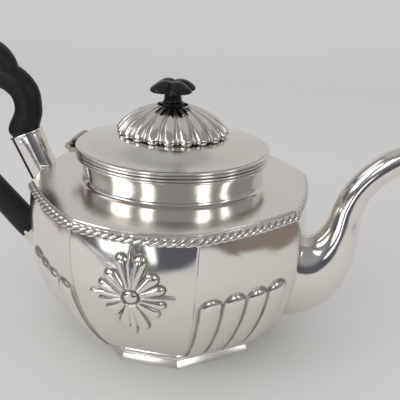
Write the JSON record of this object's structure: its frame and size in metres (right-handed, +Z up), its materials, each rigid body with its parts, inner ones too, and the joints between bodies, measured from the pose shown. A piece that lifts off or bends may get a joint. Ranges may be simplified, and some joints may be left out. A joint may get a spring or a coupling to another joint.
{
  "type": "teapot",
  "caption": "Octagonal footed teapot with bowed panels, rope border, flat shoulder, oval hinged lid with a melon dome, S-curved spout and looped wooden handle.",
  "frame": {"origin": "on the table under the middle of the foot, midway between the spout's mouth and the back of the handle", "axes": "+X from handle to spout, +Y to the left of the spout, +Z up out of the lid"},
  "size_m": [0.2944, 0.1668, 0.1736],
  "materials": {
    "silver": "polished silver plate",
    "blackwood": "ebonised hardwood, satin",
    "steel": "turned steel"
  },
  "bodies": {
    "pot": {"body_shell": "silver", "base_plate": "silver", "foot_ring": "silver", "shoulder_plate": "silver", "rope_border": "silver", "collar": "silver", "collar_rim": "silver", "hinge_body_leaf": "silver", "hinge_pin": "silver", "spout": "silver", "handle": "blackwood", "upper_socket": "silver", "lower_socket": "silver", "upper_pin": "silver", "lower_pin": "silver"},
    "lid": {"lid_plate": "silver", "lid_rim": "silver", "lid_flange": "silver", "lid_dome": "silver", "finial": "blackwood", "finial_stud": "steel", "finial_washer": "steel", "finial_nut": "steel", "hinge_lid_leaf": "silver"}
  },
  "joints": [
    {"name": "lid_hinge", "type": "hinge", "parent": "pot", "child": "lid", "pos_m": [-0.0586, 0, 0.118], "axis": [0, -1, 0], "range_deg": [0, 85]}
  ]
}
